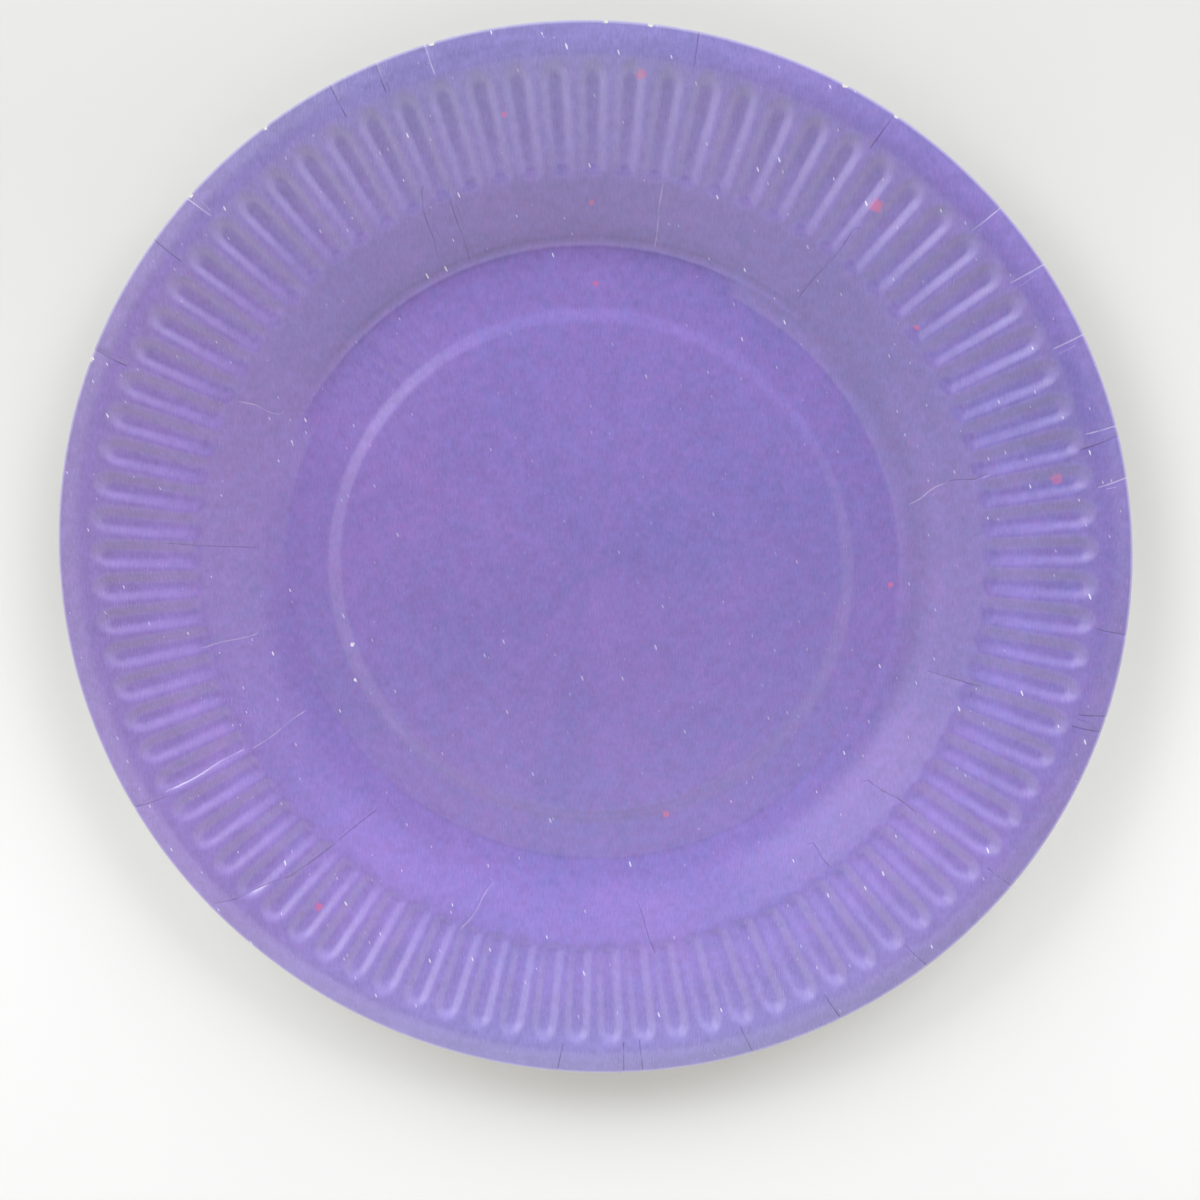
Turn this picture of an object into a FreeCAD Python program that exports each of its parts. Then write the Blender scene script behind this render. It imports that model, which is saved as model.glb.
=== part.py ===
import FreeCAD, Part

import math
import os

# A round pressed paper plate: one disc of coated board, stamped to shape in a single blow.
# It stands on the flat ring around its raised centre, with the eating side up.
# The origin is at the centre of that ring, on the table, and one flute lies on +X.
# The flutes let the flat board gather as the wall is drawn up. Each is a groove on the
# eating side and a rib of the same shape behind, so the board keeps its thickness throughout.
# Outside the crease, the plate is as many flat-sided sectors as it has flutes, which bulge
# less than a tenth of a millimetre from a true cone. The hub and the rim are truly round.

os.makedirs("parts", exist_ok=True)

# The board
board = 0.45

# The eating side in section, as distance from the axis and height above the table
centre_radius = 55.7
centre_height = 1.25
bevel_radius = 58.4
ring_height = board
crease_radius = 67.9
foot_radius = 73.4
foot_height = 2.2
wall_radius = 86.3
wall_height = 8.7
crest_radius = 111.0
crest_height = 15.1
plate_radius = 115.0
edge_height = 14.1

# The flutes, measured on the sloping band above the wall
flute_count = 86
flute_inner_radius = 86.8
flute_outer_radius = 107.2
flute_depth = 0.9
flute_width = 5.6
flute_floor_width = 2.1
flute_step = 0.4
inner_end_bow = 0.35
inner_end_facets = 3
outer_end_facets = 7

# Working allowances: how far cutting shapes stand clear of the board, how far the brim is
# drawn past the rim before it is trimmed, and how wide the hub and the sectors overlap
clearance = 0.1
trim = 1.0
hub_radius = 63.0
hub_overlap = 1.0

half_sector = math.pi / flute_count
half_width = flute_width / 2
half_floor = flute_floor_width / 2
side_angle = math.atan2(flute_depth, half_width - half_floor)
end_angle = math.atan2(flute_depth, flute_step)
band_angle = math.atan2(crest_height - wall_height, crest_radius - wall_radius)
brim_angle = math.atan2(edge_height - crest_height, plate_radius - crest_radius)
inner_end = (flute_inner_radius - wall_radius) / math.cos(band_angle)
outer_centre = (flute_outer_radius - wall_radius) / math.cos(band_angle) - half_width

centre = FreeCAD.Vector(0, 0, 0)
axis = FreeCAD.Vector(0, 0, 1)


def on_section(radius, height):
    """A point of the section in the plane of the flute on +X."""
    return FreeCAD.Vector(radius, 0, height)


def on_band(along, across, above):
    """A point by its distance up the sloping band, to the side of the flute and off the board."""
    return FreeCAD.Vector(
        wall_radius + along * math.cos(band_angle) - above * math.sin(band_angle),
        across,
        wall_height + along * math.sin(band_angle) + above * math.cos(band_angle),
    )


def closed(points):
    return Part.makePolygon(points + points[:1])


def block(outlines):
    """A closed block of flat faces between two outlines that have the same number of points."""
    first, second = outlines
    sides = [
        [first[i - 1], first[i], second[i], second[i - 1]]
        for i in range(len(first))
    ]
    faces = [Part.Face(closed(outline)) for outline in [first, second] + sides]
    solid = Part.Solid(Part.Shell(faces))
    if solid.Volume < 0:
        solid.reverse()
    return solid


def underside(upper):
    """The line one board thickness below a line of the section."""
    lower = []
    for i, point in enumerate(upper):
        inward = point - upper[i - 1] if i else upper[1] - point
        outward = upper[i + 1] - point if i + 1 < len(upper) else inward
        first = FreeCAD.Vector(inward.z, 0, -inward.x).normalize()
        second = FreeCAD.Vector(outward.z, 0, -outward.x).normalize()
        lower.append(point + (first + second) * (board / (1 + first.dot(second))))
    return lower


def section(upper):
    """The closed outline of the board below a line of the eating side."""
    return upper + underside(upper)[::-1]


def hub():
    """The round middle: raised centre, bevel and the inner part of the flat ring."""
    outline = section([
        on_section(0, centre_height),
        on_section(centre_radius, centre_height),
        on_section(bevel_radius, ring_height),
        on_section(hub_radius + hub_overlap, ring_height),
    ])
    return Part.Face(closed(outline)).revolve(centre, axis, 360)


def plain_sector():
    """One sector from the flat ring to past the rim, before its flute is pressed."""
    outline = section([
        on_section(hub_radius, ring_height),
        on_section(crease_radius, ring_height),
        on_section(foot_radius, foot_height),
        on_section(wall_radius, wall_height),
        on_section(crest_radius, crest_height),
        on_section(plate_radius + trim, edge_height + trim * math.tan(brim_angle)),
    ])
    sides = []
    for side in (-1, 1):
        spread = side * math.tan(half_sector)
        sides.append([FreeCAD.Vector(point.x, point.x * spread, point.z) for point in outline])
    return block(sides)


def flute_outline(above, skin):
    """The flute's outline at one height off the band, outside a skin of the given thickness."""
    rise = above + flute_depth
    half = half_floor + rise / math.tan(side_angle) + skin / math.sin(side_angle)
    end_reach = rise / math.tan(end_angle) + skin / math.sin(end_angle)
    bow = inner_end_bow * half
    start = inner_end + flute_step - end_reach + bow
    points = []
    for i in range(outer_end_facets + 1):
        turn = math.pi * (i / outer_end_facets - 0.5)
        along = outer_centre + half * math.cos(turn)
        points.append(on_band(along, half * math.sin(turn), above))
    for i in range(inner_end_facets + 1):
        share = 1 - 2 * i / inner_end_facets
        points.append(on_band(start - bow * (1 - share ** 2), half * share, above))
    return points


def flute_block(top, bottom, skin):
    """A block that fills a flute from one height off the band down to another."""
    return block([flute_outline(top, skin), flute_outline(bottom, skin)])


def fluted_sector():
    """One sector with its flute: the rib added behind, the groove cut from the eating side."""
    rib = flute_block(-board / 2, -flute_depth - board, board)
    groove = flute_block(clearance, -flute_depth, 0)
    return plain_sector().fuse(rib).cut(groove).Solids[0]


def all_sectors():
    sectors = []
    for i in range(flute_count):
        sector = fluted.copy()
        sector.rotate(centre, axis, 360 * i / flute_count)
        sectors.append(sector)
    return sectors


fluted = fluted_sector()
blank = Part.makeCylinder(plate_radius, crest_height + board)
plate = hub().fuse(all_sectors()).common(blank).removeSplitter().Solids[0]

print("valid", plate.isValid(), "volume", round(plate.Volume, 1), "faces", len(plate.Faces))
plate.exportStep("parts/plate.step")
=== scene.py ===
import math
import random

import bmesh
import bpy
from mathutils import Euler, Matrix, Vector, noise


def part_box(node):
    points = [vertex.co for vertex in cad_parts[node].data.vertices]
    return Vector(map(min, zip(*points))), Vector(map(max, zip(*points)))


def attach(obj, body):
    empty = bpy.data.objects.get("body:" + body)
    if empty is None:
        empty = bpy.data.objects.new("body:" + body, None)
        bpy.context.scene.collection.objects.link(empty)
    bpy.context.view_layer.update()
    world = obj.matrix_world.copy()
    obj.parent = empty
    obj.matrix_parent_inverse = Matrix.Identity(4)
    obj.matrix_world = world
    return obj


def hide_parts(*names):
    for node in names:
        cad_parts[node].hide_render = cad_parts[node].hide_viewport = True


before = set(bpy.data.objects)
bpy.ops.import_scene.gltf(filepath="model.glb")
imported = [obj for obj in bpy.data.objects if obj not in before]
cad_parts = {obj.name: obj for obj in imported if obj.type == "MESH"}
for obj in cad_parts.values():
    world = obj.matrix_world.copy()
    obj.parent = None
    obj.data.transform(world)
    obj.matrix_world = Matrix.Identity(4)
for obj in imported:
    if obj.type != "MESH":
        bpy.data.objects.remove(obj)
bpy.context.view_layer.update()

bl_info = {
    "name": "Pressed Paper Plate",
    "version": (1, 0, 0),
    "blender": (4, 5, 0),
    "location": "3D View > Sidebar > Plate",
    "description": "A round fluted paper plate with a worn purple print, and its studio stage",
    "category": "Object",
}

MM = 0.001
PLATE_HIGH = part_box("plate")[1]


# Sizes and colours

def length(name, description, default):
    return bpy.props.FloatProperty(
        name=name, description=description, default=default, unit="LENGTH", precision=5
    )


def colour(name, description, default):
    return bpy.props.FloatVectorProperty(
        name=name, description=description, default=default, subtype="COLOR", size=3, min=0, max=1
    )


class PlateSizes(bpy.types.PropertyGroup):
    """The eating side in section, from the axis outwards, and the flutes."""

    board: length("Board", "Thickness of the board", 0.45 * MM)
    centre_radius: length("Centre radius", "Edge of the raised centre", 55.7 * MM)
    centre_height: length("Centre height", "Height of the raised centre", 1.25 * MM)
    bevel_radius: length("Bevel radius", "Foot of the bevel round the centre", 58.4 * MM)
    ring_height: length("Ring height", "Height of the flat ring", 0.45 * MM)
    crease_radius: length("Crease radius", "Crease at the edge of the flat ring", 67.9 * MM)
    foot_radius: length("Foot radius", "Where the foot curve meets the wall", 73.4 * MM)
    foot_height: length("Foot height", "Height where the foot curve meets the wall", 2.2 * MM)
    wall_radius: length("Wall radius", "Top of the wall", 86.3 * MM)
    wall_height: length("Wall height", "Height of the top of the wall", 8.7 * MM)
    crest_radius: length("Crest radius", "Highest line of the rim", 110.2 * MM)
    crest_height: length("Crest height", "Height of the crest", PLATE_HIGH[2])
    rim_radius: length("Rim radius", "Outer radius of the plate", PLATE_HIGH[0])
    edge_height: length("Edge height", "Height of the outer edge", 14.1 * MM)
    flute_count: bpy.props.IntProperty(name="Flutes", description="Flutes round the rim", default=86)
    flute_inner: length("Flute inner end", "Where the inner ends leave the wall", 85.3 * MM)
    flute_outer: length("Flute outer end", "Distance of the outer ends from the axis", 107.9 * MM)
    flute_width: length("Flute width", "Width of a flute across its top", 6.0 * MM)
    side_inner: length("Inner side", "Width of a flute's side near its inner end", 2.3 * MM)
    side_outer: length("Outer side", "Width of a flute's side near its outer end", 1.9 * MM)
    depth_inner: length("Inner depth", "Depth of a flute near its inner end", 0.62 * MM)
    depth_outer: length("Outer depth", "Depth of a flute near its outer end", 0.90 * MM)


class PlateColours(bpy.types.PropertyGroup):
    """The print, the board and what has marked them, and the colours of the painted light and shade."""

    print_blue: colour("Blue cast", "Print where it is thinner and bluer", (0.178, 0.192, 0.528))
    print_pink: colour("Pink cast", "Print where it is heavier and pinker", (0.316, 0.156, 0.477))
    # Painted shade: darkens the dark folds and the flute floors, and the crescents at the inner ends of
    # the flutes
    painted_shade_purple: colour("Folded print", "Print along the bottom of a fold", (0.080, 0.060, 0.200))
    # Painted reflection of the pale floor on the wall and the rim, with painted light at their top and
    # bottom
    painted_veil: colour("Faded print", "Print worn pale on the rim", (0.285, 0.210, 0.515))
    painted_pale_light: colour("Pale print", "Worn print at the top and the bottom", (0.278, 0.250, 0.560))
    # Bare fibre in the flecks and at the rim's edge, and painted highlights along the pale folds and the
    # flute sides
    fibre_and_highlight: colour("Speck", "Bare fibre showing through the print", (0.74, 0.72, 0.88))
    spot: colour("Spot", "Pink ink spots", (0.60, 0.17, 0.36))
    core: colour("Board core", "Cut edge and bare chips of the board", (0.70, 0.68, 0.66))
    back: colour("Board back", "Unprinted underside", (0.78, 0.75, 0.69))
    floor: colour("Floor", "Plain pale floor", (0.95, 0.95, 0.95))
    # The far floor is painted darker, as painted shade
    far_floor_shade: colour("Far floor", "Floor beyond the top of the plate", (0.69, 0.683, 0.68))


# The shape of the pressed board

def ramp(x, soft):
    """0 below zero and x above it, rounded off over a distance of soft on either side."""
    if x <= -soft:
        return 0.0
    if x >= soft:
        return x
    return (x + soft) ** 2 / (4 * soft)


def smooth(x):
    x = min(max(x, 0.0), 1.0)
    return x * x * (3 - 2 * x)


def between(a, b, share):
    return a + (b - a) * share


class Section:
    """The height of the eating side at any distance from the axis."""

    # How far each turn of the section is rounded off, from the axis outwards
    SOFT = (0.5 * MM, 0.5 * MM, 0.5 * MM, 2.6 * MM, 2.4 * MM, 2.2 * MM)
    # The wall where its foot is pressed hard: its start, its slope, and the rounding between
    PRESSED_FOOT = 71.9 * MM
    PRESSED_SLOPE = 0.8
    PRESSED_SOFT = 0.8 * MM
    # How far inside the crease the pressing starts
    PRESSED_MARGIN = 1.0 * MM

    def __init__(self, s):
        self.centre_height = s.centre_height
        line = [
            (s.centre_radius, s.centre_height),
            (s.bevel_radius, s.ring_height),
            (s.crease_radius, s.ring_height),
            (s.foot_radius, s.foot_height),
            (s.wall_radius, s.wall_height),
            (s.crest_radius, s.crest_height),
            (s.rim_radius, s.edge_height),
        ]
        slopes = [0.0] + [(z1 - z0) / (r1 - r0) for (r0, z0), (r1, z1) in zip(line, line[1:])]
        self.places = [radius for radius, height in line[:-1]]
        self.turns = [after - before for before, after in zip(slopes, slopes[1:])]
        self.ring_height = s.ring_height
        self.pressed_from = s.crease_radius - self.PRESSED_MARGIN

    def height(self, radius):
        z = self.centre_height
        for place, turn, soft in zip(self.places, self.turns, self.SOFT):
            z += turn * ramp(radius - place, soft)
        return z

    def foot_drop(self, radius):
        """How much lower the board lies where the foot of the wall is pressed flat and steep."""
        if radius <= self.pressed_from:
            return 0.0
        rise = self.PRESSED_SLOPE * ramp(radius - self.PRESSED_FOOT, self.PRESSED_SOFT)
        return max(0.0, self.height(radius) - (self.ring_height + rise))


class Flute:
    """The depth of a flute below the band, with its middle line on +X."""

    # Rounding of the sides, as a share of their width
    SOFT = 0.2
    # The slope at the inner end: its length, and the radius of its bow
    STEP = 2.2 * MM
    BOW = 3.2 * MM
    # How many times as long as wide the outer end is
    STRETCH = 1.35
    # Half sizes of the darker crescent at the inner end
    CRESCENT_LONG = 0.6 * MM
    CRESCENT_WIDE = 2.0 * MM

    def __init__(self, s):
        self.s = s
        self.half = s.flute_width / 2
        self.tilt = math.atan2(s.crest_height - s.wall_height, s.crest_radius - s.wall_radius)
        self.centre = s.flute_outer - self.half * self.STRETCH

    def along(self, x):
        return smooth((x - self.s.flute_inner) / (self.centre - self.s.flute_inner))

    def share(self, x, y):
        """0 on the band, 1 on the floor of the flute, between them on its sides."""
        s = self.s
        side = between(s.side_inner, s.side_outer, self.along(x))
        reach = (self.half - math.hypot(max(0.0, x - self.centre) / self.STRETCH, y)) / side
        start = (x - s.flute_inner - y * y / (2 * self.BOW)) / self.STEP
        inside = min(reach, start)
        return ramp(inside, self.SOFT) - ramp(inside - 1, self.SOFT)

    def depth(self, x, y):
        return between(self.s.depth_inner, self.s.depth_outer, self.along(x)) * self.share(x, y)

    def end_crescent(self, x, y):
        """How much darker the print is, in a small crescent at the inner end."""
        middle = self.s.flute_inner + self.STEP + y * y / (2 * self.BOW)
        return smooth(1 - abs(x - middle) / self.CRESCENT_LONG) * smooth(1 - abs(y) / self.CRESCENT_WIDE)


class Board:
    """Points on both faces of one sector of the board."""

    # Half the step over which the slope of the eating side is taken
    NUDGE = 0.02 * MM

    def __init__(self, s):
        self.thickness = s.board
        self.section = Section(s)
        self.flute = Flute(s)

    def upper(self, radius, angle):
        x, y = radius * math.cos(angle), radius * math.sin(angle)
        dent = self.flute.depth(x, y)
        tilt = self.flute.tilt
        z = self.section.height(radius) - dent * math.cos(tilt)
        return Vector((x + dent * math.sin(tilt), y, z))

    def lower(self, radius, angle):
        turn = self.NUDGE / radius
        outward = self.upper(radius + self.NUDGE, angle) - self.upper(radius - self.NUDGE, angle)
        onward = self.upper(radius, angle + turn) - self.upper(radius, angle - turn)
        return self.upper(radius, angle) - outward.cross(onward).normalized() * self.thickness


# Bands of rows: start and end in millimetres from the axis, step, and columns across a sector
UPPER_BANDS = (
    (8, 44, 12, 1),
    (44, 54.9, 4, 2),
    (54.9, 59.4, 0.45, 4),
    (59.4, 67.2, 2.6, 4),
    (67.2, 68.7, 0.5, 4),
    (68.7, 71.1, 1.2, 8),
    (71.1, 74.4, 0.45, 8),
    (74.4, 84.6, 1.7, 8),
    (84.6, 89.0, 0.55, 16),
    (89.0, 102.8, 2.0, 16),
    (102.8, 108.8, 0.5, 16),
    (108.8, 112.8, 0.6, 8),
    (112.8, 114.0, 0.6, 16),
    (114.0, 115.0, 0.25, 16),
)
LOWER_BANDS = (
    (8, 44, 18, 1),
    (44, 55, 5, 2),
    (55, 59.5, 0.9, 4),
    (59.5, 67, 4, 4),
    (67, 69, 1.0, 4),
    (69, 84.4, 3.0, 8),
    (84.4, 89.5, 1.0, 12),
    (89.5, 103, 4.5, 12),
    (103, 108.6, 1.1, 12),
    (108.6, 114.2, 1.4, 8),
    (114.2, 115, 0.4, 16),
)
# The board's three surfaces, in the order of their materials
SURFACES = ("print", "back", "edge")


def rows(bands):
    """The distance from the axis and the columns of each row, up to the end of the last band."""
    places = []
    for start, end, step, columns in bands:
        count = max(1, round((end - start) / step))
        places += [((start + (end - start) * i / count) * MM, columns) for i in range(count)]
    places.append((end * MM, columns))
    return places


def zip_rows(mesh, inner, outer, side):
    """Faces between two rows of points that may differ in number."""
    i, j = 0, 0
    last_i, last_j = len(inner) - 1, len(outer) - 1
    while i < last_i or j < last_j:
        lead = (i + 1) * last_j - (j + 1) * last_i
        if lead == 0:
            corners = [inner[i], outer[j], outer[j + 1], inner[i + 1]]
            i, j = i + 1, j + 1
        elif lead < 0:
            corners = [inner[i], outer[j], inner[i + 1]]
            i += 1
        else:
            corners = [inner[i], outer[j], outer[j + 1]]
            j += 1
        face = mesh.faces.new(corners if side != "back" else corners[::-1])
        face.material_index = SURFACES.index(side)
        face.smooth = True


def sector_mesh(s, materials):
    """One sector of the board as a mesh: eating side, underside and cut edge."""
    board = Board(s)
    half = math.pi / s.flute_count
    mesh = bmesh.new()
    end_crescent = mesh.verts.layers.float.new("end_crescent")
    groove = mesh.verts.layers.float.new("groove")
    rims = []
    faces_of_board = (
        ("print", rows(UPPER_BANDS), board.upper, s.centre_height),
        ("back", rows(LOWER_BANDS), board.lower, s.centre_height - s.board),
    )
    for side, places, point, middle in faces_of_board:
        line = [mesh.verts.new((0.0, 0.0, middle))]
        for radius, columns in places:
            angles = [half * (2 * i / columns - 1) for i in range(columns + 1)]
            after = [mesh.verts.new(point(radius, angle)) for angle in angles]
            for vertex in after:
                vertex[end_crescent] = board.flute.end_crescent(vertex.co.x, vertex.co.y)
                vertex[groove] = board.flute.share(vertex.co.x, vertex.co.y)
            zip_rows(mesh, line, after, side)
            line = after
        rims.append(line)
    zip_rows(mesh, rims[0], rims[1], "edge")
    made = bpy.data.meshes.new("plate_sector")
    mesh.to_mesh(made)
    mesh.free()
    for material in materials:
        made.materials.append(material)
    return made


# Node trees

class Nodes:
    """A node tree, with short words for adding to it."""

    MEASURES = ("DISTANCE", "DOT_PRODUCT", "LENGTH")

    def __init__(self, tree):
        self.tree = tree

    def add(self, kind, inputs=None, **settings):
        """A node with its settings, each input linked or given a value."""
        node = self.tree.nodes.new(kind)
        for name, value in settings.items():
            setattr(node, name, value)
        for name, value in (inputs or {}).items():
            if isinstance(value, bpy.types.NodeSocket):
                self.tree.links.new(value, node.inputs[name])
            else:
                node.inputs[name].default_value = value
        return node

    def math(self, operation, *values):
        return self.add("ShaderNodeMath", dict(enumerate(values)), operation=operation).outputs[0]

    def vector(self, operation, *values):
        """A vector, or a number where the operation measures one."""
        node = self.add("ShaderNodeVectorMath", dict(enumerate(values)), operation=operation)
        return node.outputs["Value" if operation in self.MEASURES else "Vector"]

    def span(self, value, low, high, to_low=0.0, to_high=1.0, soft=False):
        """Maps a value between low and high to between to_low and to_high, and holds it there."""
        inputs = {
            "Value": value,
            "From Min": low,
            "From Max": high,
            "To Min": to_low,
            "To Max": to_high,
        }
        kind = "SMOOTHSTEP" if soft else "LINEAR"
        return self.add("ShaderNodeMapRange", inputs, interpolation_type=kind).outputs[0]


# Turning the sector round the axis

# Points of neighbouring sectors nearer than this become one
WELD_DISTANCE = 0.005 * MM


def turned_tree(materials):
    """A tree that repeats a sector round the axis, welds the copies and gives them their finish."""
    tree = bpy.data.node_groups.new("Sector Round Axis", "GeometryNodeTree")
    sockets = tree.interface
    sockets.new_socket("Geometry", in_out="INPUT", socket_type="NodeSocketGeometry")
    sockets.new_socket("Flutes", in_out="INPUT", socket_type="NodeSocketInt")
    sockets.new_socket("Weld Distance", in_out="INPUT", socket_type="NodeSocketFloat")
    sockets.new_socket("Geometry", in_out="OUTPUT", socket_type="NodeSocketGeometry")

    add = Nodes(tree).add
    start = add("NodeGroupInput")
    line = add("GeometryNodeMeshLine", {"Count": start.outputs["Flutes"], "Offset": (0, 0, 0)})
    step = add("ShaderNodeMath", {0: math.tau, 1: start.outputs["Flutes"]}, operation="DIVIDE")
    index = add("GeometryNodeInputIndex")
    angle = add("ShaderNodeMath", {0: index.outputs[0], 1: step.outputs[0]}, operation="MULTIPLY")
    turn = add("ShaderNodeCombineXYZ", {"Z": angle.outputs[0]})
    copies = add("GeometryNodeInstanceOnPoints", {
        "Points": line.outputs["Mesh"],
        "Instance": start.outputs["Geometry"],
        "Rotation": turn.outputs[0],
    })
    real = add("GeometryNodeRealizeInstances", {"Geometry": copies.outputs["Instances"]})
    last = add("GeometryNodeMergeByDistance", {
        "Geometry": real.outputs[0],
        "Distance": start.outputs["Weld Distance"],
    })
    slot = add("GeometryNodeInputMaterialIndex")
    for number, material in enumerate(materials):
        pair = {2: slot.outputs[0], 3: number}
        chosen = add("FunctionNodeCompare", pair, data_type="INT", operation="EQUAL")
        last = add("GeometryNodeSetMaterial", {
            "Geometry": last.outputs[0],
            "Selection": chosen.outputs[0],
            "Material": material,
        })
    add("NodeGroupOutput", {"Geometry": last.outputs[0]})
    return tree


def turned_mesh(s, sector, materials):
    """The whole board: the sector run through the tree, as a plain mesh."""
    piece = bpy.data.objects.new("plate_board", sector)
    bpy.context.collection.objects.link(piece)
    tree = turned_tree(materials)
    modifier = piece.modifiers.new("Round Axis", "NODES")
    modifier.node_group = tree
    values = {"Flutes": s.flute_count, "Weld Distance": WELD_DISTANCE}
    for item in tree.interface.items_tree:
        if item.name in values:
            modifier[item.identifier] = values[item.name]
    depsgraph = bpy.context.evaluated_depsgraph_get()
    whole = bpy.data.meshes.new_from_object(piece.evaluated_get(depsgraph), depsgraph=depsgraph)
    piece.modifiers.clear()
    piece.data = whole
    whole.name = "plate_board"
    return piece


# Handling: a slight warp, folds, nicks and a foot that is pressed harder at the top

# Angles in degrees from +X, distances from the axis in millimetres
# The dark folds get painted shade along their lines, the pale ones painted highlights
DARK_LIP_FOLDS = (111, 106, 135.5, 149, 73, 52.5, 11.5, 351, 341, 339.5, 202.5)
DARK_LIP_FOLDS += (262, 269.5, 271.5, 284, 295, 306.5, 320)
PALE_LIP_FOLDS = (129.5, 100.5, 38.5, 31.5, 23, 13, 7)
# Each fold on the wall: angle and distance of its inner end, then of its outer end
DARK_WALL_FOLDS = (
    (109.5, 76, 107, 89),
    (105, 73, 103.5, 88),
    (48.5, 75, 48.5, 93),
    (170.5, 75, 170, 92),
    (11, 80, 11, 88),
    (340, 78, 340.5, 88),
    (319, 78, 320, 89),
    (273.5, 78, 275, 88),
    (305, 79, 305, 85),
    (223.5, 75, 220.5, 97),
    (220.5, 97, 216.5, 113),
)
PALE_WALL_FOLDS = (
    (73.5, 73, 74, 85),
    (147, 76, 147.5, 84),
    (185.5, 76, 185.5, 87),
    (202, 88, 202, 106),
    (201.5, 73, 202.5, 85),
    (8.5, 72, 11, 80),
    (248, 76, 245.5, 87),
)
DARK_WALL_TONE, PALE_WALL_TONE = 0.8, -0.7
WALL_FOLD_BOW = 0.6
# A fold on the lip: where it starts, where it ends, and how far its end leans in degrees
LIP_FOLD_START = (107.5, 109.5)
LIP_FOLD_END = 115
LIP_FOLD_LEAN = 0.5
FOLD_SEED = 11
# The nicks: their angles, half widths and depths, and how far in from the rim they reach
NICKS = (129.5, 119, 100, 82.5, 78, 58, 150, 52)
NICK_HALF_WIDTHS = (0.6, 1.2)
NICK_DEPTHS = (0.12, 0.3)
NICK_REACH = 1.2 * MM
NICK_SEED = 5
# Where the foot of the wall is pressed hard, and over how many degrees that fades
FOOT_FROM, FOOT_TO, FOOT_FADE = 52, 152, 14
# The warp: how far beyond the crease it starts, and its waves as depth, number and start
WARP_START = 1.0 * MM
WARP_WAVES = ((0.25, 2, 1.1), (0.10, 3, 0.4))
WAVER_DEPTH, WAVER_SCALE = 0.22, 55


class Fold:
    """A hairline fold, bowed a little; its tone is above 0 for a dark one and below 0 for a pale one."""

    REACH = 1.5 * MM
    END_FADE = 1.0 * MM
    VALLEY = 0.15 * MM
    VALLEY_HALF = 0.9 * MM
    BOW_TURN = 4

    def __init__(self, inner_angle, inner, outer_angle, outer, tone, bow=0.0):
        self.start = self.place(inner_angle, inner)
        self.run = self.place(outer_angle, outer) - self.start
        self.size = self.run.length
        self.run.normalize()
        self.bow = bow * MM
        self.tone = tone
        self.angles = (min(inner_angle, outer_angle), max(inner_angle, outer_angle))

    @staticmethod
    def place(angle, radius):
        turn = math.radians(angle)
        return Vector((math.cos(turn), math.sin(turn))) * radius * MM

    def near(self, x, y):
        """Signed distance from the fold's line, and how far the fold still counts there."""
        gap = Vector((x, y)) - self.start
        along = gap.dot(self.run)
        beyond = max(0.0, -along, along - self.size)
        share = min(max(along / self.size, 0.0), 1.0)
        bowed = self.bow * math.sin(math.pi * share) * math.cos(self.BOW_TURN * share + self.bow)
        aside = self.run.cross(gap) - bowed
        return aside, smooth(1 - beyond / self.END_FADE) * smooth(2 * (1 - abs(aside) / self.REACH))


def folds():
    """All the folds, those of the lip first."""
    made = []
    draw = random.Random(FOLD_SEED)
    for angles, tone in ((DARK_LIP_FOLDS, 1.0), (PALE_LIP_FOLDS, -1.0)):
        for angle in angles:
            inner = draw.uniform(*LIP_FOLD_START)
            outer_angle = angle + draw.uniform(-LIP_FOLD_LEAN, LIP_FOLD_LEAN)
            made.append(Fold(angle, inner, outer_angle, LIP_FOLD_END, tone))
    for folds_of_tone, tone in ((DARK_WALL_FOLDS, DARK_WALL_TONE), (PALE_WALL_FOLDS, PALE_WALL_TONE)):
        for places in folds_of_tone:
            made.append(Fold(*places, tone, draw.uniform(-WALL_FOLD_BOW, WALL_FOLD_BOW)))
    return made


def by_degree(mesh):
    """The numbers of the points that lie in each whole degree round the axis."""
    degrees = [[] for _ in range(360)]
    for vertex in mesh.vertices:
        angle = math.degrees(math.atan2(vertex.co.y, vertex.co.x)) % 360
        degrees[int(angle) % 360].append(vertex.index)
    return degrees


def mark_folds(mesh):
    """Presses the folds into the board, and leaves each point its distance from the nearest one."""
    count = len(mesh.vertices)
    distance = [Fold.REACH] * count
    tone = [0.0] * count
    degrees = by_degree(mesh)
    for fold in folds():
        for degree in range(math.floor(fold.angles[0]) - 2, math.ceil(fold.angles[1]) + 3):
            for number in degrees[degree % 360]:
                place = mesh.vertices[number].co
                aside, share = fold.near(place.x, place.y)
                if share > abs(tone[number]):
                    distance[number] = aside
                    tone[number] = share * fold.tone
    for vertex in mesh.vertices:
        near = smooth(1 - abs(distance[vertex.index]) / Fold.VALLEY_HALF)
        sunk = abs(tone[vertex.index]) * near
        vertex.co.z -= Fold.VALLEY * sunk
    for name, values in (("fold_distance", distance), ("fold_tone", tone)):
        mesh.attributes.new(name, "FLOAT", "POINT").data.foreach_set("value", values)


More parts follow.
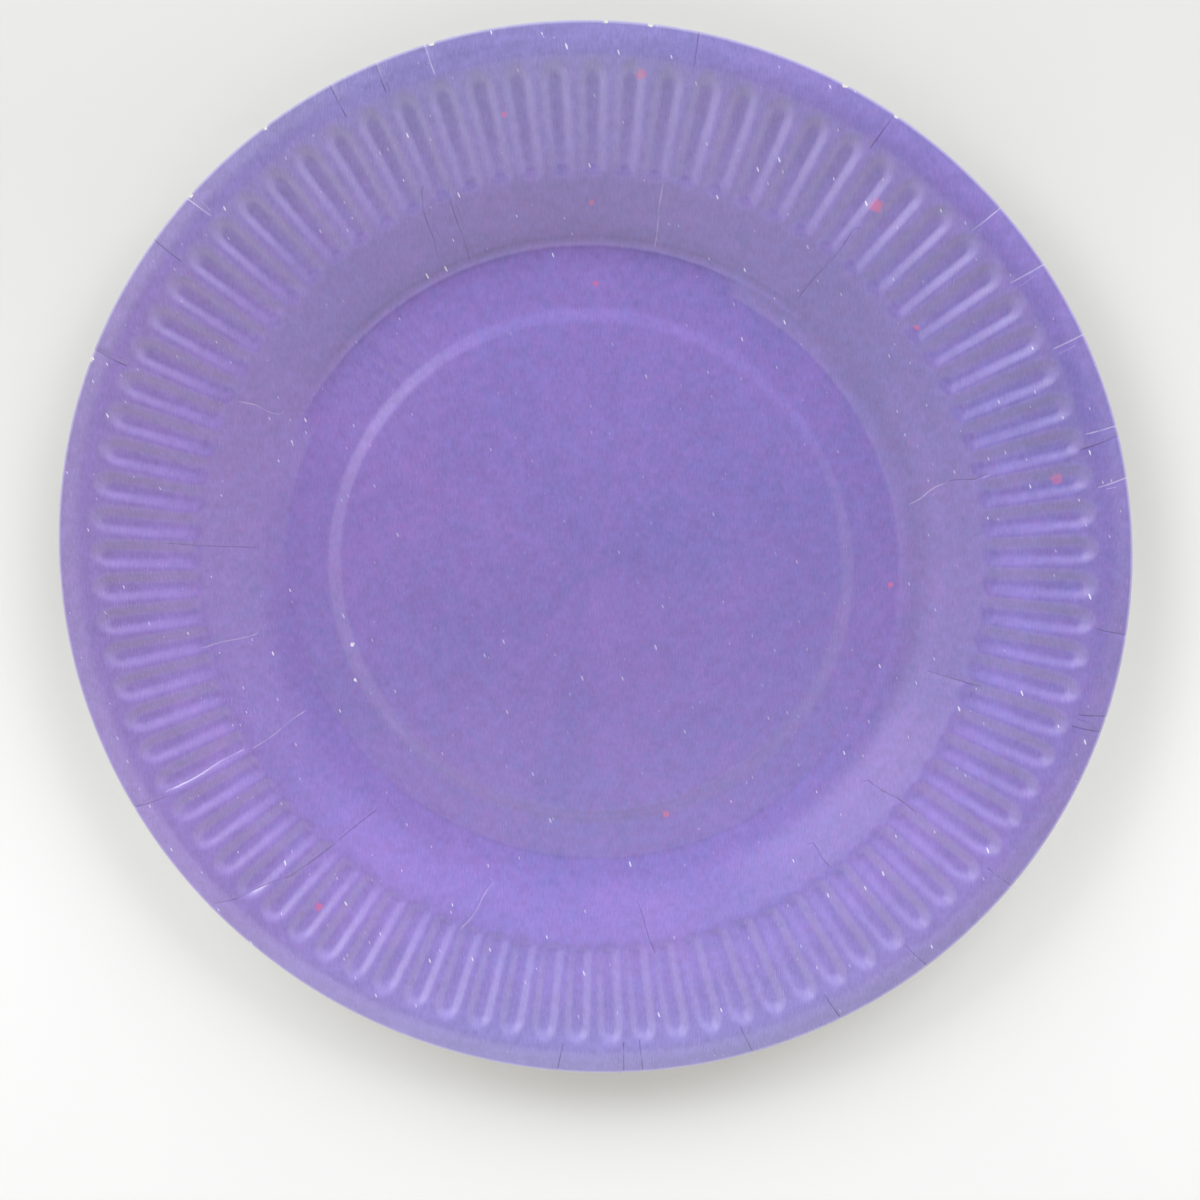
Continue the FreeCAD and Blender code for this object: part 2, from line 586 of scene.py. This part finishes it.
def nick_edge(mesh, rim_radius):
    """Small bites out of the rim, where the print has chipped off the board."""
    draw = random.Random(NICK_SEED)
    bites = []
    for angle in NICKS:
        half_width = draw.uniform(*NICK_HALF_WIDTHS) * MM
        bites.append((angle, half_width, draw.uniform(*NICK_DEPTHS) * MM))
    bare = [0.0] * len(mesh.vertices)
    for vertex in mesh.vertices:
        radius = math.hypot(vertex.co.x, vertex.co.y)
        if radius < rim_radius - NICK_REACH:
            continue
        angle = math.degrees(math.atan2(vertex.co.y, vertex.co.x)) % 360
        for middle, half_width, deep in bites:
            aside = abs(math.radians(angle - middle)) * radius
            share = smooth(1 - aside / half_width) * smooth(1 - (rim_radius - radius) / NICK_REACH)
            if share > 0:
                inward = 1 - deep * share / radius
                vertex.co.x *= inward
                vertex.co.y *= inward
                bare[vertex.index] = share
    mesh.attributes.new("bare", "FLOAT", "POINT").data.foreach_set("value", bare)


def settle(mesh, s):
    """Warps the rim a little and presses the foot at the top, with nothing below the floor."""
    section = Section(s)
    lowest_free = s.crease_radius + WARP_START
    for vertex in mesh.vertices:
        x, y, z = vertex.co
        radius, angle = math.hypot(x, y), math.atan2(y, x)
        degree = math.degrees(angle) % 360
        share = smooth((radius - lowest_free) / (s.crest_radius - lowest_free))
        dip = sum(deep * (1 + math.sin(number * angle + start)) for deep, number, start in WARP_WAVES)
        waver = 0.5 + 0.5 * noise.noise(Vector((x, y, 0.0)) * WAVER_SCALE)
        pressed = smooth((degree - FOOT_FROM) / FOOT_FADE) * smooth((FOOT_TO - degree) / FOOT_FADE)
        z -= (dip + WAVER_DEPTH * waver) * MM * share
        z -= pressed * section.foot_drop(radius)
        vertex.co.z = max(0.0, z)


# Finishes

class Finish(Nodes):
    """A material, with short words for what its pattern is made of."""

    # Between these lies nearly all of a noise
    NOISE_LOW, NOISE_HIGH = 0.3, 0.7

    def __init__(self, name):
        self.material = bpy.data.materials.new(name)
        self.material.use_nodes = True
        super().__init__(self.material.node_tree)
        self.tree.nodes.clear()
        self.place = self.add("ShaderNodeTexCoord").outputs["Object"]

    def sum(self, first, *others):
        for other in others:
            first = self.math("ADD", first, other)
        return first

    def times(self, first, *others):
        for other in others:
            first = self.math("MULTIPLY", first, other)
        return first

    def spread(self, noise, amount, middle=0.0):
        """Maps a noise to as much as the amount above and below the middle."""
        return self.span(noise, self.NOISE_LOW, self.NOISE_HIGH, middle - amount, middle + amount)

    def axis(self, name, place=None):
        return self.add("ShaderNodeSeparateXYZ", {0: place or self.place}).outputs[name]

    def flat(self):
        """The place, moved down to the floor."""
        return self.vector("MULTIPLY", self.place, (1, 1, 0))

    def axis_distance(self):
        return self.vector("LENGTH", self.flat())

    def mix(self, share, first, second, blend="MIX"):
        values = {0: share, 6: first, 7: second}
        return self.add("ShaderNodeMix", values, data_type="RGBA", blend_type=blend).outputs[2]

    def turned(self, angle, scale):
        """The place, turned about the axis so that Y runs along a direction, then stretched."""
        turn = self.add("ShaderNodeMapping", {"Vector": self.place, "Rotation": (0, 0, angle)})
        return self.add("ShaderNodeMapping", {"Vector": turn.outputs[0], "Scale": scale}).outputs[0]

    def noise(self, scale, detail=2.0, rough=0.5, place=None):
        values = {"Vector": place or self.place, "Scale": scale, "Detail": detail, "Roughness": rough}
        return self.add("ShaderNodeTexNoise", values).outputs[0]

    def own(self, name):
        """A value that the mesh carries at its points."""
        return self.add("ShaderNodeAttribute", attribute_name=name).outputs["Fac"]

    def bump(self, height, distance, under=None):
        values = {"Height": height, "Distance": distance, "Strength": 1.0}
        if under is not None:
            values["Normal"] = under
        return self.add("ShaderNodeBump", values).outputs[0]

    def close(self, **values):
        inputs = {name.replace("_", " ").title().replace("Ior", "IOR"): v for name, v in values.items()}
        shader = self.add("ShaderNodeBsdfPrincipled", inputs)
        self.add("ShaderNodeOutputMaterial", {"Surface": shader.outputs[0]})
        return self.material


def rgba(values, share=1.0):
    """A colour with its alpha, darker where the share is below 1."""
    return (*(value * share for value in values), 1.0)


GRAIN_TURN = math.radians(4.3)
SPECK_TURN = math.radians(-15)
# Flecks: size of a cell and share of the cells that have one, length, width, turn and seed
FRECKLES = (8.0, 0.050, 0.5 * MM, 0.4 * MM, 0.0, 5.3)
FEW_FLECKS = (12.0, 0.24, 1.3 * MM, 0.38 * MM, SPECK_TURN, 3.7)
MANY_FLECKS = (6.0, 0.08, 0.9 * MM, 0.30 * MM, SPECK_TURN, 9.1)
# Smallest and largest fleck, as shares of the given length and width
FLECK_REACH = (0.17, 0.5)
# How much of the print each mark covers
SPOT_COVER, FRECKLE_COVER = 0.8, 0.35
FEW_COVER, MANY_COVER = 0.9, 0.45
# The fold covers are painted shade and painted highlights
DARK_FOLD_COVER, PALE_FOLD_COVER, CRESCENT_COVER = 0.75, 0.45, 0.08
# Centre of each spot in millimetres, its radius, and how hollow it is
PINK_SPOTS = (
    (66.1, 73.7, 1.6, 0.0),
    (100.3, 15.2, 1.4, 0.5),
    (21.1, 103.3, 1.3, 0.2),
    (-68.2, -71.0, 1.2, 0.0),
    (12.6, -57.6, 1.0, 0.0),
    (7.5, 62.9, 0.7, 0.0),
    (73.3, 48.5, 0.7, 0.0),
    (-7.1, 98.3, 0.7, 0.0),
    (8.5, 79.6, 0.7, 0.0),
    (66.2, -7.5, 0.7, 0.0),
)
# A painted sheen in streaks, in one patch at the upper left
SHEEN_PLACE = (-41 * MM, 48 * MM, 0.0)
SHEEN_REACH = 20 * MM
SHEEN_TURN = math.radians(-40)
BARE_SPOTS = ((-55.0, -12.1, 0.6, 0.0), (-55.6, -20.5, 0.5, 0.0))
# Half the width of a fold's line, and where it is full
FOLD_LINE = (0.22 * MM, 0.03 * MM)
# The bumps of the grain and of a fold: their depths, and half a fold's width
GRAIN_DEPTH = 0.015 * MM
FOLD_DEPTH, FOLD_HALF = 0.04 * MM, 0.3 * MM
ROUGHNESS, ROUGHNESS_SPREAD = 0.23, 0.03
COAT_IOR = 1.75
# How pink the print is where nothing changes it, and which way the painted reflection is weaker
PINKNESS = 0.46
VEIL_TURN = math.radians(-15)

# Spans: start and end, and the values there where they aren't 0 and 1. Places are in metres,
# and the lip's slant goes with X times Y
PINK_TO_BLUE = (-0.09, 0.09, 0.10, -0.07)
# The wall and rim spans give painted reflection, the paler one painted light at the top and the bottom
VEIL_WALL = (0.070, 0.090, 0.0, 0.35)
VEIL_RIM = (0.094, 0.112, 0.0, 0.5)
VEIL_LESS_AT_RIGHT = (0.045, 0.100, 1.0, 0.2)
PALE_LIGHT_TOP_BOTTOM = (0.070, 0.108)
FLECKS_OUTWARDS = (0.055, 0.072, 0.5, 1.0)
# Painted light and shade: lighter towards the top of the centre and on the lower half, and on the lip
# lighter below and darker above
CENTRE_PAINTED_LIGHT = (0.0, 0.06, 0.0, 0.09)
CENTRE_END = (0.067, 0.071, 1.0, 0.0)
LOWER_PAINTED_LIGHT = (-0.02, -0.07, 0.0, 0.08)
LIP_PAINTED_LIGHT = (-0.11, 0.11, 0.10, -0.11)
LIP_PAINTED_SLANT = (-0.006, 0.006, -0.12, 0.06)
LIP_START = (0.1095, 0.1115)
# Painted highlights on the flute sides and painted shade on the flute floors, towards the top
SIDE_HIGHLIGHT_UPWARD = (0.03, 0.09, 0.04, 0.10)
SIDE_HIGHLIGHT_OUTWARD = (0.084, 0.098, 0.4, 1.0)
FLOOR_SHADE_UPWARD = (0.03, 0.09, 0.0, 0.13)
FLOOR_SHADE_OUTWARD = (0.088, 0.102, 0.1, 1.0)
FLUTE_FLOOR = (0.7, 1.0)
WORN_RIM = (115.2 * MM, 115.8 * MM, 0.0, 0.55)
CHIPPED = (0.4, 0.6)
# Parts of the plate: along X or Y, none of it at the first place and all of it at the second
PARTS = {
    "right": ("X", 0.03, 0.07),
    "left": ("X", -0.01, -0.06),
    "bottom": ("Y", -0.01, -0.05),
    "lower half": ("Y", 0.0, -0.03),
    "below the top": ("Y", 0.05, 0.0),
    "top": ("Y", 0.042, 0.060),
}
# Rings of painted light and shade: middle and half width in millimetres, tone, and the parts in which
# they show
PAINTED_LIGHT_RINGS = (
    (57.1, 1.7, 0.13, ("lower half",)),
    (71.9, 0.7, 0.09, ("top",)),
    (73.3, 0.7, -0.08, ("top",)),
    (71.0, 0.7, -0.05, ("top",)),
    (72.5, 5.0, -0.15, ("right",)),
    (81.0, 7.0, -0.07, ("right",)),
    (80.0, 8.0, 0.10, ("left", "bottom")),
    (93.0, 7.0, 0.08, ("below the top",)),
)


def fleck_mask(f, cell_size, share, long, wide, turn, seed):
    """Small flecks, long and wide as given or down to a third of that: one in a share of the cells."""
    place = f.turned(turn, (1 / wide, 1 / long, 0))
    moved = f.vector("ADD", place, (seed, seed, 0))
    values = {"Vector": moved, "Scale": 1 / cell_size, "Randomness": 1.0}
    cell = f.add("ShaderNodeTexVoronoi", values, voronoi_dimensions="2D")
    parts = f.add("ShaderNodeSeparateColor", {0: cell.outputs["Color"]})
    shown = f.math("LESS_THAN", parts.outputs[0], share)
    size = f.span(parts.outputs[1], 0, 1, *(reach / cell_size for reach in FLECK_REACH))
    inside = f.math("LESS_THAN", cell.outputs["Distance"], size)
    return f.times(shown, inside)


def spot_mask(f, spots):
    """Single spots with uneven, soft edges."""
    flat = f.flat()
    waver = f.spread(f.noise(1400, 2.0), 0.3 * MM)
    whole = None
    for x, y, radius, hollow in spots:
        reach = f.vector("DISTANCE", flat, (x * MM, y * MM, 0))
        reach = f.sum(reach, waver)
        mask = f.span(reach, radius * MM, 0.5 * radius * MM)
        if hollow:
            mask = f.times(mask, f.span(reach, 0.3 * radius * MM, 0.6 * radius * MM, 1 - hollow, 1))
        whole = mask if whole is None else f.math("MAXIMUM", whole, mask)
    return whole


def veil_and_sheen(f, radius):
    """How much painted reflection veils the print: on the wall and the rim, less at the right, and a
    painted sheen in one patch.
    """
    across = f.axis("X", f.turned(VEIL_TURN, (1, 1, 1)))
    rim = f.sum(f.span(radius, *VEIL_WALL), f.span(radius, *VEIL_RIM))
    rim = f.times(rim, f.span(across, *VEIL_LESS_AT_RIGHT))
    # Painted sheen in one patch
    away = f.vector("DISTANCE", f.place, SHEEN_PLACE)
    sheen_streaks = f.span(f.noise(1.0, 3.0, 0.7, f.turned(SHEEN_TURN, (700, 90, 1))), 0.4, 0.7)
    sheen_patch = f.times(f.span(away, SHEEN_REACH, 0.0, 0.0, 1.0, soft=True), sheen_streaks)
    return f.math("MAXIMUM", rim, sheen_patch)


def painted_light_and_shade(f, radius, side, upward):
    """Painted light and shade on the print: in the centre, below, on the lip and in rings."""
    axes = {"X": side, "Y": upward}
    shown = {name: f.span(axes[axis], start, end) for name, (axis, start, end) in PARTS.items()}
    lip = f.sum(f.span(upward, *LIP_PAINTED_LIGHT), f.span(f.times(side, upward), *LIP_PAINTED_SLANT))
    tones = [
        f.times(f.span(upward, *CENTRE_PAINTED_LIGHT), f.span(radius, *CENTRE_END)),
        f.span(upward, *LOWER_PAINTED_LIGHT),
        f.times(lip, f.span(radius, *LIP_START)),
    ]
    for middle, half, tone, parts in PAINTED_LIGHT_RINGS:
        away = f.math("ABSOLUTE", f.math("SUBTRACT", radius, middle * MM))
        ring = f.span(away, 0.0, half * MM, tone, 0.0, soft=True)
        tones.append(f.times(ring, *(shown[part] for part in parts)))
    return tones


def print_tint(f, c, streak):
    """The clouded and streaked ink, bluer to the right and pinker to the left, with painted reflection,
    sheen, light and shade.
    """
    side, upward, radius = f.axis("X"), f.axis("Y"), f.axis_distance()
    pinkness = f.sum(
        PINKNESS,
        f.span(side, *PINK_TO_BLUE),
        f.spread(f.noise(22, 3.0, 0.6), 0.11),
        f.spread(f.noise(260, 4.0, 0.7), 0.12),
        f.spread(streak, 0.12),
    )
    ink = f.mix(pinkness, rgba(c.print_blue), rgba(c.print_pink))
    # Painted light at the top and the bottom of the rim, painted reflection on the wall and the rim
    pale_light = f.span(f.math("ABSOLUTE", upward), *PALE_LIGHT_TOP_BOTTOM)
    veiled = f.mix(pale_light, rgba(c.painted_veil), rgba(c.painted_pale_light))
    ink = f.mix(veil_and_sheen(f, radius), ink, veiled)
    other_streak = f.noise(1.0, 2.0, 0.6, f.turned(GRAIN_TURN, (2900, 500, 1)))
    # The grey holds the print's own mottle and the painted light and shade
    shade = f.sum(
        f.spread(other_streak, 0.08, 1.0),
        f.spread(f.noise(420, 4.0, 0.7), 0.09),
        f.spread(f.noise(45, 3.0, 0.6), 0.04),
        *painted_light_and_shade(f, radius, side, upward),
    )
    grey = f.add("ShaderNodeCombineColor", {0: shade, 1: shade, 2: shade}).outputs[0]
    return f.mix(1.0, ink, grey, "MULTIPLY")


def spotted(f, c, ink):
    """The ink with its pink spots and freckles, its pale flecks and its bare spots."""
    spots = f.times(spot_mask(f, PINK_SPOTS), SPOT_COVER)
    freckles = f.times(fleck_mask(f, *FRECKLES), FRECKLE_COVER)
    ink = f.mix(f.math("MAXIMUM", spots, freckles), ink, rgba(c.spot))
    few = f.times(fleck_mask(f, *FEW_FLECKS), FEW_COVER)
    many = f.times(fleck_mask(f, *MANY_FLECKS), MANY_COVER)
    flecks = f.times(f.math("MAXIMUM", few, many), f.span(f.axis_distance(), *FLECKS_OUTWARDS))
    flecks = f.math("MAXIMUM", flecks, spot_mask(f, BARE_SPOTS))
    return f.mix(flecks, ink, rgba(c.fibre_and_highlight))


def folded(f, c, ink, aside, tone):
    """The ink with painted shade along the dark folds and painted highlights along the pale ones, and
    darker in a small crescent at the inner ends of the flutes.
    """
    broken = f.span(f.noise(260, 3.0), 0.35, 0.6, 0.25, 1.0)
    line = f.times(f.span(aside, *FOLD_LINE, soft=True), broken)
    dark = f.times(line, f.math("MAXIMUM", tone, 0.0))
    pale = f.times(line, f.math("MAXIMUM", f.times(tone, -1.0), 0.0))
    # Painted shade along the dark folds and painted highlights along the pale ones
    ink = f.mix(f.times(dark, DARK_FOLD_COVER), ink, rgba(c.painted_shade_purple))
    ink = f.mix(f.times(pale, PALE_FOLD_COVER), ink, rgba(c.fibre_and_highlight))
    # Darker in a small crescent at the inner end of each flute
    return f.mix(f.times(f.own("end_crescent"), CRESCENT_COVER), ink, rgba(c.painted_shade_purple))


def fluted(f, c, ink):
    """The ink on the flutes: painted highlights on their sides and painted shade on their floors,
    towards the top.
    """
    groove, upward, radius = f.own("groove"), f.axis("Y"), f.axis_distance()
    sides = f.times(groove, f.math("SUBTRACT", 4.0, f.times(groove, 4.0)))
    side_highlight = f.times(f.span(upward, *SIDE_HIGHLIGHT_UPWARD), f.span(radius, *SIDE_HIGHLIGHT_OUTWARD))
    ink = f.mix(f.times(sides, side_highlight), ink, rgba(c.fibre_and_highlight))
    deep = f.times(f.span(upward, *FLOOR_SHADE_UPWARD), f.span(radius, *FLOOR_SHADE_OUTWARD))
    # Painted shade on the flute floors
    return f.mix(f.times(f.span(groove, *FLUTE_FLOOR), deep), ink, rgba(c.painted_shade_purple))


def rimmed(f, c, ink):
    """The ink worn pale along the rim, and chipped off at the nicks."""
    ink = f.mix(f.span(f.vector("LENGTH", f.place), *WORN_RIM), ink, rgba(c.fibre_and_highlight))
    chipped = f.sum(f.own("bare"), f.spread(f.noise(1500, 2.0), 0.3))
    return f.mix(f.span(chipped, *CHIPPED), ink, rgba(c.core))


def print_finish(c):
    """Purple print on satin board: clouded, streaked along the grain, flecked, spotted and folded, with
    painted light, shade, sheen and reflection.
    """
    f = Finish("purple_print_painted_light")
    streak = f.noise(1.0, 2.0, 0.6, f.turned(GRAIN_TURN, (2600, 420, 1)))
    aside = f.math("ABSOLUTE", f.own("fold_distance"))
    tone = f.own("fold_tone")
    ink = spotted(f, c, print_tint(f, c, streak))
    ink = folded(f, c, ink, aside, tone)
    ink = rimmed(f, c, fluted(f, c, ink))

    grain = f.sum(f.times(streak, 0.5), f.times(f.noise(3200, 2.0), 0.5))
    valley = f.times(f.span(aside, FOLD_HALF, 0.0, soft=True), f.math("ABSOLUTE", tone))
    normal = f.bump(f.times(valley, -1.0), FOLD_DEPTH, f.bump(grain, GRAIN_DEPTH))
    rough = f.sum(
        f.spread(streak, ROUGHNESS_SPREAD, ROUGHNESS),
        f.spread(f.noise(26, 3.0), ROUGHNESS_SPREAD),
    )
    return f.close(base_color=ink, roughness=rough, normal=normal, ior=COAT_IOR)


def back_finish(c):
    """Plain uncoated board, with fine fibres."""
    f = Finish("plain_board_back")
    fibre = f.noise(1.0, 3.0, 0.6, f.turned(GRAIN_TURN, (2400, 700, 1)))
    cloud = f.noise(60, 3.0)
    darker = rgba(c.back, 0.90)
    tint = f.mix(f.span(fibre, 0.35, 0.65), darker, rgba(c.back))
    tint = f.mix(f.span(cloud, 0.35, 0.65, 0.0, 0.25), tint, darker)
    return f.close(base_color=tint, roughness=0.78, normal=f.bump(fibre, 0.03 * MM))


def edge_finish(c):
    """The cut edge: pale core with the plies just showing."""
    f = Finish("cut_board_edge")
    plies = f.noise(1.0, 2.0, 0.6, f.turned(0.0, (500, 500, 9000)))
    tint = f.mix(f.span(plies, 0.35, 0.65), rgba(c.core, 0.82), rgba(c.core))
    return f.close(base_color=tint, roughness=0.85, normal=f.bump(plies, 0.03 * MM))


SHARP_ANGLE = math.radians(50)


class PLATE_OT_board(bpy.types.Operator):
    """Make the pressed and printed board of the plate"""

    bl_idname = "plate.board"
    bl_label = "Board"

    def execute(self, context):
        s, c = context.scene.plate_sizes, context.scene.plate_colours
        materials = [print_finish(c), back_finish(c), edge_finish(c)]
        piece = turned_mesh(s, sector_mesh(s, materials), materials)
        mesh = piece.data
        settle(mesh, s)
        mark_folds(mesh)
        nick_edge(mesh, s.rim_radius)
        mesh.set_sharp_from_angle(angle=SHARP_ANGLE)
        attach(piece, "root")
        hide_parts("plate")
        return {"FINISHED"}


# The stage

CAMERA_PLACE = (0.03249, 0.07533, 0.34448)
CAMERA_TURN = (-13.659, 3.814, -5.225)
CAMERA_LENS = 47.74
CAMERA_SENSOR = 36
CAMERA_CLIP = (0.01, 20)
# Half the floor's side, and where along Y it changes from its near colour to its darker far colour,
# painted shade
FLOOR_HALF = 2.5
FLOOR_FADE = (-0.08, 0.12)
# Name, direction as degrees round from +X and up from the floor, distance, width, height, power, colour
LAMPS = (
    ("sky_right", 48, 24, 1.4, 1.0, 0.8, 15.8, (0.95, 0.98, 1.0)),
    ("sky_left", 128, 24, 1.4, 1.0, 0.8, 14.2, (0.95, 0.98, 1.0)),
    ("key", 155, 52, 1.4, 0.6, 0.6, 0.8, (1.0, 1.0, 1.0)),
)
SKY_COLOUR = (1.0, 0.985, 0.95)
# Strength of the sky level with the floor, and how it changes along X, Y and Z
SKY_LEVEL = 0.74
SKY_LEAN = (-0.12, -0.25, 0.0)
# The dark patch overhead: its middle and half sizes, across a dome seen from above
DARK_MIDDLE = (0.0, 0.165, 0.0)
DARK_HALF = (0.56, 0.49)
# Where the patch starts to fade and where it ends, in half sizes
DARK_FADE = (0.88, 1.14)


def floor_finish(c):
    f = Finish("pale_floor")
    # The far floor is darker, painted shade
    tint = f.mix(f.span(f.axis("Y"), *FLOOR_FADE, soft=True), rgba(c.floor), rgba(c.far_floor_shade))
    return f.close(base_color=tint, roughness=0.9)


def make_floor(c):
    mesh = bpy.data.meshes.new("floor")
    corners = [(x * FLOOR_HALF, y * FLOOR_HALF, 0.0) for x, y in ((-1, -1), (1, -1), (1, 1), (-1, 1))]
    mesh.from_pydata(corners, [], [(0, 1, 2, 3)])
    mesh.materials.append(floor_finish(c))
    floor = bpy.data.objects.new("floor", mesh)
    bpy.context.collection.objects.link(floor)


def make_lamps():
    for name, round_angle, up_angle, distance, wide, high, power, tint in LAMPS:
        lamp = bpy.data.lights.new(name, "AREA")
        lamp.shape = "RECTANGLE"
        lamp.size, lamp.size_y = wide, high
        lamp.energy = power
        lamp.color = tint
        place = Vector((distance, 0, 0))
        place.rotate(Euler((0, -math.radians(up_angle), math.radians(round_angle))))
        holder = bpy.data.objects.new(name, lamp)
        holder.location = place
        holder.rotation_euler = (-place).to_track_quat("-Z", "Y").to_euler()
        bpy.context.collection.objects.link(holder)


def make_sky(scene):
    """A pale sky with a dark patch overhead, brighter towards the front and the left."""
    sky = bpy.data.worlds.new("sky")
    sky.use_nodes = True
    n = Nodes(sky.node_tree)
    way = n.add("ShaderNodeTexCoord").outputs["Generated"]
    level = n.math("ADD", n.vector("DOT_PRODUCT", way, SKY_LEAN), SKY_LEVEL)
    aside = n.vector("SUBTRACT", way, DARK_MIDDLE)
    aside = n.vector("MULTIPLY", aside, (1 / DARK_HALF[0], 1 / DARK_HALF[1], 0.0))
    clear = n.span(n.vector("LENGTH", aside), *DARK_FADE, soft=True)
    shade = n.tree.nodes["Background"]
    shade.inputs["Color"].default_value = rgba(SKY_COLOUR)
    n.tree.links.new(n.math("MULTIPLY", level, clear), shade.inputs["Strength"])
    scene.world = sky


def make_camera(scene):
    camera = bpy.data.cameras.new("photo_view")
    camera.sensor_width = CAMERA_SENSOR
    camera.lens = CAMERA_LENS
    camera.clip_start, camera.clip_end = CAMERA_CLIP
    holder = bpy.data.objects.new("photo_view", camera)
    holder.location = CAMERA_PLACE
    holder.rotation_euler = Euler([math.radians(turn) for turn in CAMERA_TURN])
    bpy.context.collection.objects.link(holder)
    scene.camera = holder


class PLATE_OT_stage(bpy.types.Operator):
    """Make the floor, the lamps, the sky and the camera"""

    bl_idname = "plate.stage"
    bl_label = "Stage"

    def execute(self, context):
        make_floor(context.scene.plate_colours)
        make_lamps()
        make_sky(context.scene)
        make_camera(context.scene)
        context.scene.view_settings.view_transform = "Standard"
        return {"FINISHED"}


class PLATE_PT_panel(bpy.types.Panel):
    """The plate's pieces, sizes and colours"""

    bl_idname = "PLATE_PT_panel"
    bl_label = "Pressed Paper Plate"
    bl_space_type = "VIEW_3D"
    bl_region_type = "UI"
    bl_category = "Plate"

    def draw(self, context):
        column = self.layout.column()
        column.operator(PLATE_OT_board.bl_idname)
        column.operator(PLATE_OT_stage.bl_idname)
        for group in (context.scene.plate_sizes, context.scene.plate_colours):
            column.separator()
            for name in group.__annotations__:
                column.prop(group, name)


CLASSES = (PlateSizes, PlateColours, PLATE_OT_board, PLATE_OT_stage, PLATE_PT_panel)


def register():
    for item in CLASSES:
        bpy.utils.register_class(item)
    bpy.types.Scene.plate_sizes = bpy.props.PointerProperty(type=PlateSizes)
    bpy.types.Scene.plate_colours = bpy.props.PointerProperty(type=PlateColours)


def unregister():
    del bpy.types.Scene.plate_colours
    del bpy.types.Scene.plate_sizes
    for item in reversed(CLASSES):
        bpy.utils.unregister_class(item)


def main():
    register()
    bpy.ops.plate.board()
    bpy.ops.plate.stage()


if __name__ == "__main__":
    main()
